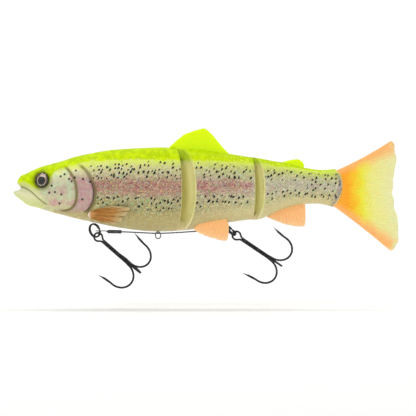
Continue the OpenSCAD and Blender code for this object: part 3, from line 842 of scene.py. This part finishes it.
def fin(root, edge, half_root, half_edge, rays, ridge, ragged=0.0, cup=None, sweep=None, across=120, outward=60):
    """A ribbed fin between a root line and an outer edge, both as [x, z] points."""
    a = through(root, across)
    b = through(edge, across)
    s = np.linspace(0, 1, across)[:, None]
    t = np.linspace(0, 1, outward)[None, :]
    rng = np.random.default_rng(3)
    teeth = ragged * (np.abs(np.sin(np.pi * rays / 2 * s)) - 0.6) + 0.6 * ragged * np.interp(
        s, np.linspace(0, 1, 14), rng.normal(0, 1, 14))
    teeth = teeth * soft_step(s, 0, 0.08) * soft_step(s, 1, 0.92)
    length = np.linalg.norm(b - a, axis=1)[:, None]
    corner = 1 - 0.035 * (np.clip(1 - s / 0.05, 0, 1) ** 2 + np.clip(1 - (1 - s) / 0.05, 0, 1) ** 2)
    reach = t * (1 + teeth / length * t) * corner
    x = a[:, :1] + (b - a)[:, :1] * reach
    z = a[:, 1:] + (b - a)[:, 1:] * reach + (sweep(s) * 4 * t * (1 - t) if sweep else 0)
    thick = half_root + (half_edge - half_root) * t**0.8
    line = np.cos(2 * np.pi * rays * s) * (1 - soft_step(t, 0.42, 0.6)) + np.cos(
        4 * np.pi * rays * s) * soft_step(t, 0.42, 0.6)
    thick = thick + ridge * line * soft_step(t, 0.03, 0.2) * (1 - 0.4 * t)
    rim = np.minimum(np.minimum(s, 1 - s) * max(length.max(), 8) * 1.1, (1 - t) * length)
    thick = thick * np.sqrt(np.clip(rim / 0.8, 0.02, 1))
    bend = cup(s, t) if cup else np.zeros(thick.shape)
    left = np.stack([x, bend - thick, z], axis=2).reshape(-1, 3)
    right = np.stack([x, bend + thick, z], axis=2).reshape(-1, 3)
    rows, cols = across, outward
    faces = grid_faces(rows, cols, closed=False) + grid_faces(rows, cols, rows * cols, closed=False, flip=True)
    rim_loop = ([i * cols for i in range(rows)] + [(rows - 1) * cols + j for j in range(1, cols)]
                + [i * cols + cols - 1 for i in range(rows - 2, -1, -1)] + [j for j in range(cols - 2, 0, -1)])
    for i, j in zip(rim_loop, rim_loop[1:] + rim_loop[:1]):
        faces.append((i, j, j + rows * cols, i + rows * cols))
    values = {"across": np.tile(np.broadcast_to(s, thick.shape).ravel(), 2),
              "out": np.tile(np.broadcast_to(t, thick.shape).ravel(), 2)}
    return np.vstack([left, right]), faces, values


def fin_object(name, made, material, *nodes, place=None, flip=False, **how):
    points, faces, values = made
    rest = points.copy()
    if place:
        points = place(points)
    if flip:
        points, faces = mirrored(points, faces)
    obj = make_object(name, points, faces)
    put_place(obj, rest)
    for key, v in values.items():
        put_value(obj, key, v)
    return finish_piece(obj, material, *nodes, **how)


def build_fins():
    lime = fin_paint("lime_fin", [(0.0, rgb(192, 224, 0)), (0.25, rgb(216, 246, 0)), (1.0, rgb(226, 255, 0))],
                     rgb(190, 224, 0, 0.25), 22)
    orange = fin_paint("orange_fin", [(0.0, rgb(238, 190, 120)), (0.3, rgb(255, 190, 124)),
                                      (0.8, rgb(255, 198, 136)), (1.0, rgb(255, 210, 156))],
                       rgb(240, 150, 84, 0.35), 14)
    # pectoral fins: the near-white first stop at the root is a painted glint, then brown fading paler to the edge
    brown = fin_paint("brown_fin", [(0.0, rgb(240, 226, 214)), (0.08, rgb(200, 150, 92)), (0.25, rgb(170, 114, 50)),
                                    (0.65, rgb(182, 132, 68)), (1.0, rgb(194, 178, 128))],
                      rgb(112, 62, 14, 0.75), 9)
    tail = fin_paint("tail_fin", [(0.0, rgb(252, 174, 60)), (0.2, rgb(255, 172, 40)), (0.32, rgb(250, 202, 44)),
                                  (0.45, rgb(238, 234, 66)), (0.62, rgb(238, 236, 142)), (1.0, rgb(232, 234, 176))],
                     rgb(222, 170, 70, 0.22), 34, tip=rgb(255, 184, 112))
    # tail fin: its front hides under the painted peduncle
    root = [(163.2, 9.6), (164.2, 5), (164.4, 0), (164.2, -4.5), (162.6, -8)]
    edge = [(194.3, 26.2), (195.6, 21), (195.9, 13), (195, 9.5), (194.3, 1), (195, -8), (196.1, -15),
            (197.1, -21.7), (196.8, -27), (194, -32.6)]
    bow = lambda s, t: 0.25 * np.sin(3 * np.pi * s) * t**2
    droop = lambda s: -0.9 + 1.5 * s
    web = fin(root, edge, 1.75, 0.42, 17, 0.17, ragged=0.42, cup=bow, sweep=droop, across=260, outward=90)
    fin_object("tail_fin_web", web, tail, "caudal_fin", slot="tail_fin",
               blend=("tail_section", "tail_fin", (0.160, 0, 0), (0.172, 0, 0)))
    root = [(83.4, 21.0), (85.8, 19.4), (94, 18.4), (103, 17.4), (108.6, 17.2)]
    edge = [(77.3, 22.05), (81, 25.4), (85.2, 28.7), (88.6, 30.2), (92.5, 31.5), (95.6, 32.1), (97.3, 31.5),
            (100.9, 27.8), (104.6, 23.4), (109.1, 18.7)]
    fin_object("dorsal_web", fin(root, edge, 1.25, 0.4, 11, 0.13, ragged=0.12, across=150), lime, "dorsal_fin",
               slot="chartreuse_fin", body="middle_section")
    root = [(136.8, 12.6), (140, 11.6), (145.2, 10.4), (147.2, 10.3)]
    edge = [(136.1, 14.4), (139, 15.2), (142, 15.8), (144.6, 16), (146.6, 15.1), (147.9, 13.2), (147.7, 11.2)]
    fin_object("adipose_web", fin(root, edge, 0.95, 0.4, 6, 0.05, across=70, outward=30), lime, "adipose_fin",
               slot="chartreuse_fin", body="tail_section")
    root = [(131.2, -10.9), (136, -8.4), (141.5, -6.6), (148.2, -6.4)]
    edge = [(128.4, -14.2), (133.2, -16.1), (138.2, -17.9), (143.1, -18.9), (147.4, -18.9), (148.7, -16), (148.6, -8.4)]
    fin_object("anal_web", fin(root, edge, 1.0, 0.36, 10, 0.11, ragged=0.1, across=110), orange, "anal_fin",
               slot="orange_fin", body="tail_section")
    # pelvic and pectoral fins, a left one and its mirror image
    root = [(92.6, -17.6), (97.5, -14.8), (102.5, -14.4), (107.6, -14.8)]
    edge = [(90.3, -20.7), (93, -22.6), (97, -24.3), (102, -26), (107, -26.7), (108.5, -23.4), (108.7, -18.4)]
    splay = lambda p: turned(p + (0, 0, 15.5), "x", -14) + (0, -4.4, -15.5)
    curl = lambda s, t: -0.7 * t**2
    for side in ("left", "right"):
        web = fin(root, edge, 1.0, 0.36, 9, 0.11, ragged=0.12, cup=curl, across=100)
        fin_object(side + "_pelvic_web", web, orange, side + "_pelvic_fin", place=splay, flip=side == "right",
                   slot="orange_fin", body="middle_section")
    root = [(37.4, -10.9), (36.2, -12.6), (37, -14.6)]
    edge = [(43, -9.1), (49.5, -8.2), (55.5, -8.7), (59, -9.7), (55.4, -13.8), (52, -17.2), (46.2, -17.4), (41, -16.2)]
    belly_out = lambda s, t: 0.5 * t * (1 - t)
    flare = lambda p: turned(turned(p + (-36, 0, 12), "x", 12), "z", -14) + (36, -7.6, -12)
    for side in ("left", "right"):
        web = fin(root, edge, 0.95, 0.34, 8, 0.16, ragged=0.25, cup=belly_out, across=110)
        fin_object(side + "_pectoral_web", web, brown, side + "_pectoral_fin", place=flare, flip=side == "right",
                   slot="brown_fin", body="front_section")


# ---------------------------------------------------------------- eyes

def lathe(profile, sides=72):
    """A closed solid of revolution about Z from an (r, z) profile that starts and ends at r = 0."""
    angle = np.linspace(0, 2 * np.pi, sides, endpoint=False)
    inner = profile[1:-1]
    rounds = [np.stack([r * np.cos(angle), r * np.sin(angle), np.full(sides, z)], axis=1) for r, z in inner]
    points = np.vstack(rounds + [[(0, 0, profile[0][1])], [(0, 0, profile[-1][1])]])
    faces = grid_faces(len(inner), sides)
    first, last = len(inner) * sides, len(inner) * sides + 1
    for j in range(sides):
        k = (j + 1) % sides
        faces.append((first, j, k))
        faces.append((last, (len(inner) - 1) * sides + k, (len(inner) - 1) * sides + j))
    return points, faces


def eye_to_head(p):
    p = turned(turned(turned(p, "x", 90), "x", -EYE_PITCH), "z", -EYE_YAW)
    return p + (EYE[0], -EYE_OUT, EYE[1])


def build_eyes():
    printed, resin = eye_paint(), resin_paint()
    r = np.linspace(0, 3.55, 26)
    iris = [(0.0, 0.1)] + [(v, 0.1) for v in (1.5, 3.2)] + [(3.5, 0.3)] + [
        (v, 0.75 + 0.5 * (1 - (v / 3.55) ** 2)) for v in r[::-1]]
    dome = [(0.0, 1.32)] + [(v, 0.8 + 0.54 * (1 - (v / 3.55) ** 2)) for v in r[1:]] + [
        (v, 0.86 + 1.12 * (1 - (v / 3.57) ** 2) ** 0.9) for v in r[:0:-1]] + [(0.0, 1.98)]
    for side in ("left", "right"):
        for name, profile, material, node, slot in (
                ("iris", iris, printed, "_eye", "eye_print"), ("lens", dome, resin, "_eye_dome", "eye_resin")):
            points, faces = lathe(profile)
            flat = points.copy()
            # the print is a little taller than wide
            placed = eye_to_head(points * (0.95, 1.06, 1))
            if side == "right":
                placed, faces = mirrored(placed, faces)
            obj = make_object(side + "_" + name, placed, faces)
            put_place(obj, flat)
            put_value(obj, "up", flat[:, 1] / 3.5)
            put_value(obj, "rim", np.hypot(flat[:, 0], flat[:, 1]) / 3.55)
            put_value(obj, "pupil", np.hypot(flat[:, 0], flat[:, 1] + 0.3) / 2.1)
            finish_piece(obj, material, side + node, slot=slot, body="front_section")


# ---------------------------------------------------------------- rig

# Treble: wire, eye radius, shank, bend radius and point
HOOK_D, EYE_R, SHANK, BEND_R, POINT = 1.08, 2.15, 18.4, 7.2, 8.0
WIRE = [(45, -21.7), (53, -21.8), (62, -22.2), (71.9, -22.6), (82, -22.2), (90.5, -21.6), (96.8, -21.1),
        (102.4, -20.3)]
RING_R, RING_WIRE_R, RING_HALF_GAP = 3.5, 0.4, 0.37
STRAND_R, LOOP_R, LOOP_WIRE_R, LOOP_LIFT, REAR_LOOP_WIRE_R = 0.36, 1.8, 0.22, 0.35, 0.28
PIN_R, PIN_WIRE_R = 1.75, 0.3
FRONT_SLEEVE_R, REAR_SLEEVE_R = 0.95, 0.86


def metal_object(name, parts, material, *nodes, **how):
    points, faces = joined(parts)
    obj = make_object(name, points, faces)
    put_place(obj, points)
    return finish_piece(obj, material, *nodes, **how)


def hook_path():
    """One hook's wire in the plane of its own bend: shank, round bend and point."""
    off = HOOK_D * 0.56
    start, bend_x = EYE_R + 1, EYE_R + 1 + SHANK
    shank = [(start + 0.3 + s, off) for s in np.linspace(0, SHANK - 3.4, 14)]
    # the shank leaves the axis gently before the bend
    lead = [(bend_x - 3 + 3 * s, off + 0.25 * s * s) for s in np.linspace(0.1, 1, 8)]
    turn = [(bend_x + BEND_R * math.sin(a), off + 0.25 + BEND_R - BEND_R * math.cos(a))
            for a in np.radians(np.linspace(6, 184, 54))]
    top = turn[-1]
    d = (-math.cos(math.radians(4)), math.sin(math.radians(4)))
    point = [(top[0] + d[0] * s, top[1] + d[1] * s + 0.012 * s * s) for s in np.linspace(0.4, POINT, 24)]
    path = np.array([(x, 0, z) for x, z in shank + lead + turn + point])
    n = len(point)
    radius = np.full(len(path), HOOK_D / 2)
    s = np.linspace(0, 1, n)
    radius[-n:] = HOOK_D / 2 * np.interp(s, [0, 0.3, 0.55, 0.9, 1], [1.0, 1.14, 0.95, 0.3, 0.06])
    return path, radius


def barb(path, radius):
    """A small barb raised from the inside of the point."""
    base = path[-14]
    ahead = path[-9] - base
    ahead /= np.linalg.norm(ahead)
    inward = np.array([ahead[2], 0, -ahead[0]])
    inward = inward if inward[2] < 0 else -inward
    line = np.array([base + ahead * 1.9 * (1 - s) + inward * (0.18 + 0.62 * s) for s in np.linspace(0, 1, 6)])
    return tube(line, np.linspace(0.2, 0.05, 6), 8)


def treble(at, angle):
    parts = []
    path, radius = hook_path()
    for turn in (-90, 30, 150):
        for p, f in (tube(path, radius, 18), barb(path, radius)):
            parts.append((turned(p, "x", turn), f))
    # eye: a teardrop that closes on the shank
    a = np.radians(np.linspace(46, 314, 60))
    loop = [(EYE_R * math.cos(v), 0, EYE_R * math.sin(v)) for v in a]
    leg = [(EYE_R + HOOK_D + 1.2, 0, 0.42), (EYE_R + 0.7, 0, 0.62), (EYE_R + 0.05, 0, 1.02)]
    route = leg + loop + [(x, y, -z) for x, y, z in reversed(leg)]
    parts.append(tube(through(route, 90), 0.5, 16))
    # braze between the shanks
    s = np.linspace(0, 1, 16)
    for start, end, r in ((1.4, 4.4, 0.78), (10.2, 13, 0.86), (17.2, 19.6, 0.7)):
        x0, x1 = EYE_R + start, EYE_R + end
        blob = r * np.sin(np.pi * np.clip(s, 0.04, 0.96)) ** 0.5
        parts.append(tube(np.stack([x0 + (x1 - x0) * s, 0 * s, 0 * s], axis=1), blob))
    return [(turned(p, "y", angle) + (at[0], 0, at[1]), f) for p, f in parts]


def ring(at, lean, turn):
    """A split ring: nearly two turns of wire, side by side, with cut ends."""
    turns, n = 1.94, 180
    a = np.linspace(0, 2 * np.pi * turns, n)
    gap = RING_HALF_GAP
    side = np.interp(a, [0, 2 * np.pi - 0.9, 2 * np.pi + 0.3, 2 * np.pi * turns], [-gap, -gap, gap, gap])
    path = np.stack([RING_R * np.cos(a), RING_R * np.sin(a), side], axis=1)
    p, f = tube(path, RING_WIRE_R)
    p = turned(turned(turned(p, "x", 90), "z", turn), "y", -lean)
    return p + (at[0], 0, at[1]), f


def open_loop(neck, centre, radius, wire_r):
    """A wire that runs out from a neck, round a centre and back, in the side view's plane."""
    a0 = math.atan2(neck[1] - centre[1], neck[0] - centre[0])
    arc = [(centre[0] + radius * math.cos(a0 + v), centre[1] + radius * math.sin(a0 + v))
           for v in np.radians(np.linspace(50, 310, 40))]
    route = through([neck] + arc[::4] + [arc[-1], (neck[0], neck[1])], 90)
    return tube(np.stack([route[:, 0], 0 * route[:, 0], route[:, 1]], axis=1), wire_r, 12)


def stranded(path, radius, pitch, strands=6):
    """A laid wire: strands wound round a core."""
    along = through(path, max(60, int(np.linalg.norm(np.diff(path, axis=0), axis=1).sum() * 5)))
    run = np.concatenate([[0], np.cumsum(np.linalg.norm(np.diff(along, axis=0), axis=1))])
    tangent = np.gradient(along, axis=0)
    tangent /= np.linalg.norm(tangent, axis=1, keepdims=True)
    side = np.cross(tangent, (0, 1, 0))
    side /= np.linalg.norm(side, axis=1, keepdims=True)
    other = np.cross(tangent, side)
    parts = [tube(along, radius * 0.45, 8)]
    for k in range(strands):
        a = (2 * np.pi * (run / pitch + k / strands))[:, None]
        parts.append(tube(along + radius * 0.62 * (np.cos(a) * side + np.sin(a) * other), radius * 0.38, 7))
    return parts


def crimp(p0, p1, radius):
    """A crimped sleeve: a tube with rounded lips and two pressed bands."""
    p0, p1 = np.array((p0[0], 0, p0[1]), float), np.array((p1[0], 0, p1[1]), float)
    s = np.linspace(0, 1, 60)
    length = np.linalg.norm(p1 - p0)
    r = radius * (1 - 0.07 * bell((s - 0.3) * length, 0.9) - 0.07 * bell((s - 0.7) * length, 0.9))
    lip = np.minimum(s, 1 - s) * length
    r = r * np.sqrt(np.clip(lip / 0.35, 0.12, 1))
    return tube(p0 + (p1 - p0) * s[:, None], r, 20)


def belly_pin(at):
    a = np.radians(np.linspace(90, 436, 60))
    route = [(0, 0, 12), (0, 0, 8), (0, 0, 4), (0, 0, 2.4)] + [
        (PIN_R * math.cos(v), 0, PIN_R * math.sin(v)) for v in a]
    p, f = tube(np.array(route), PIN_WIRE_R, 12)
    return turned(p, "z", 38) + (at[0], 0, at[1]), f


def build_rig():
    nickel = metal_paint("black_nickel", rgb(46, 46, 48), rgb(92, 92, 94), 0.24)
    steel = metal_paint("steel_wire", rgb(104, 104, 106), rgb(150, 150, 152), 0.3)
    sleeve = metal_paint("dark_sleeve", rgb(66, 66, 70), rgb(112, 112, 116), 0.32)
    # stinger wire: a laid run between the sleeves, with a loop at each end
    run = np.array([(x, 0, z) for x, z in WIRE], float)
    points, faces = open_loop((45.6, 0), (41.2, 2.3), LOOP_R, LOOP_WIRE_R)
    # the front loop lies flat, and is lifted clear of the treble's eye
    flat = np.stack([points[:, 0], points[:, 2], points[:, 1] + WIRE[0][1] + LOOP_LIFT], axis=1)
    front_loop = (flat, [f[::-1] for f in faces])
    rear_loop = open_loop((102, -20.36), (106.75, -19), 1.45, REAR_LOOP_WIRE_R)
    stinger = stranded(run, STRAND_R, 3.4) + [front_loop, rear_loop]
    back_way = np.array(WIRE[-1]) - np.array(WIRE[-2])
    back_way = back_way / np.linalg.norm(back_way)
    rear_sleeve = crimp(np.array(WIRE[-1]) - 3 * back_way, WIRE[-1], REAR_SLEEVE_R)
    front, mid = {"body": "front_section"}, {"body": "middle_section"}
    hinge = {"blend": ("front_section", "middle_section", (0.0765, 0, 0), (0.0885, 0, 0))}
    for name, parts, material, node, slot, how in (
            ("front_treble_hooks", treble((40.7, -24.5), 41), nickel, "front_treble", "black_nickel",
             {"body": "front_hook"}),
            ("rear_treble_hooks", treble((112.75, -23.75), 34), nickel, "rear_treble", "black_nickel",
             {"body": "rear_hook"}),
            ("front_ring_coils", [ring((38.9, -21.1), 22, 50)], nickel, "front_split_ring", "black_nickel",
             {"body": "front_ring"}),
            ("rear_ring_coils", [ring((109.5, -21), 49, 77)], nickel, "rear_split_ring", "black_nickel",
             {"body": "rear_ring"}),
            ("front_pin_wire", [belly_pin((71.9, -23.6))], steel, "front_belly_pin", "wire", front),
            ("rear_pin_wire", [belly_pin((96.8, -21.9))], steel, "rear_belly_pin", "wire", mid),
            ("stinger_strands", stinger, steel, "stinger_wire", "wire", hinge),
            ("front_crimp", [crimp((45.5, -21.7), WIRE[1], FRONT_SLEEVE_R)], sleeve, "front_crimp_sleeve", "sleeve",
             front),
            ("rear_crimp", [rear_sleeve], sleeve, "rear_crimp_sleeve", "sleeve", mid)):
        metal_object(name, parts, material, node, slot=slot, **how)


# ---------------------------------------------------------------- nets and hidden parts

def net(x0, x1, z0, z1, spacing=1.1):
    """An open weave of two sets of threads that pass over and under each other."""
    parts = []
    across = np.arange(x0 + 0.3, x1, spacing)
    up = np.arange(z0 + 0.3, z1, spacing)
    z = np.arange(z0, z1 + 0.01, spacing / 4)
    for i, x in enumerate(across):
        wave = 0.11 * np.cos(np.pi * (z - z0 - 0.3) / spacing + np.pi * i)
        parts.append(tube(np.stack([x + 0 * z, wave, z], axis=1), 0.12, 6))
    x = np.arange(x0, x1 + 0.01, spacing / 4)
    for i, level in enumerate(up):
        wave = -0.11 * np.cos(np.pi * (x - x0 - 0.3) / spacing + np.pi * i)
        parts.append(tube(np.stack([x, wave, level + 0 * x], axis=1), 0.12, 6))
    return parts


def build_inside():
    thread = plain_paint("net_thread", rgb(214, 210, 170), rgb(228, 226, 196), 0.6, 1.5)
    metal_object("front_net_weave", net(73.5, 92, -14.6, 15.6), thread, "front_hinge_net", slot="net",
                 blend=("front_section", "middle_section", (0.0808, 0, 0), (0.0842, 0, 0)))
    metal_object("rear_net_weave", net(114, 131, -10.6, 11.6), thread, "rear_hinge_net", slot="net",
                 blend=("middle_section", "tail_section", (0.1213, 0, 0), (0.1237, 0, 0)))
    metal_object("tail_net_weave", net(152, 174, -4.6, 6.6), thread, "tail_net", slot="net",
                 blend=("tail_section", "tail_fin", (0.160, 0, 0), (0.172, 0, 0)))
    white = plain_paint("line_tube", rgb(228, 228, 214), rgb(214, 216, 200), 0.35, coordinate=object_mm)
    lead = plain_paint("cast_lead", rgb(104, 106, 112), rgb(134, 136, 142), 0.5, 0.6, 0.05, coordinate=object_mm)
    for node, material in (("line_tube", white), ("front_keel_weight", lead), ("middle_keel_weight", lead)):
        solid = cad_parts[node]
        solid.data.materials.clear()
        solid.data.materials.append(material)


# ---------------------------------------------------------------- studio

def area_light(name, place, target, size, power):
    data = bpy.data.lights.new(name, "AREA")
    data.shape = "RECTANGLE"
    data.size, data.size_y = size
    data.energy = power
    obj = bpy.data.objects.new(name, data)
    bpy.context.scene.collection.objects.link(obj)
    obj.location = place
    aim(obj, target)
    return obj


def aim(obj, target):
    way = Vector(target) - Vector(obj.location)
    obj.rotation_euler = way.to_track_quat("-Z", "Y").to_euler()


def build_studio():
    centre = (0.0979, 0, -0.0094)
    floor_z = -0.062
    # a pale floor that curves up behind the fish
    depth, curve = 1.2, 0.8
    arc = [(depth + curve * math.sin(a), curve - curve * math.cos(a)) for a in np.radians(np.linspace(6, 90, 18))]
    profile = [(-3.0, 0), (depth, 0)] + arc + [(depth + curve, 4)]
    wide = 4.0
    points = [(sx * wide / MM, y / MM, (floor_z + z) / MM) for sx in (-1, 1) for y, z in profile]
    n = len(profile)
    sweep = make_object("studio_floor", points, [(i, i + n, i + n + 1, i + 1) for i in range(n - 1)])
    put_place(sweep, points)
    p = Paint("studio_card", rough=0.8, specular=0.1)
    p.set("Base Color", p.mix(p.noise(p.place(), 0.004, 2), rgb(250, 250, 249), rgb(246, 246, 245)))
    sweep.data.materials.append(p.mat)
    world = bpy.data.worlds.new("studio")
    world.use_nodes = True
    sky = world.node_tree.nodes["Background"].inputs
    sky["Color"].default_value = (1, 1, 1, 1)
    sky["Strength"].default_value = 0.72
    bpy.context.scene.world = world
    area_light("key", (-0.4, -0.75, 0.85), centre, (0.6, 0.35), 2.5)
    area_light("fill", (0.7, -0.85, 0.15), centre, (0.5, 0.5), 0.6)
    area_light("top", (0.1, 0.05, 0.9), centre, (0.9, 0.4), 0.5)
    area_light("front", (0.1, -1.3, -0.02), centre, (0.5, 0.3), 0.3)
    area_light("backdrop", (0.1, 0.3, 1.5), (0.1, 1.9, 0.1), (2.5, 0.8), 16)
    lens, sensor = 150, 36
    across = 0.2167    # width of the view at the fish, in metres
    camera = bpy.data.cameras.new("camera")
    camera.lens = lens
    camera.sensor_width = sensor
    camera.clip_start, camera.clip_end = 0.05, 20
    obj = bpy.data.objects.new("camera", camera)
    obj.location = (centre[0], -across * lens / sensor, centre[2])
    obj.rotation_euler = (math.pi / 2, 0, 0)
    bpy.context.scene.collection.objects.link(obj)
    bpy.context.scene.camera = obj
    bpy.context.scene.view_settings.view_transform = "Standard"


build_studio()
build_body(body_paint())
build_fins()
build_eyes()
build_rig()
build_inside()
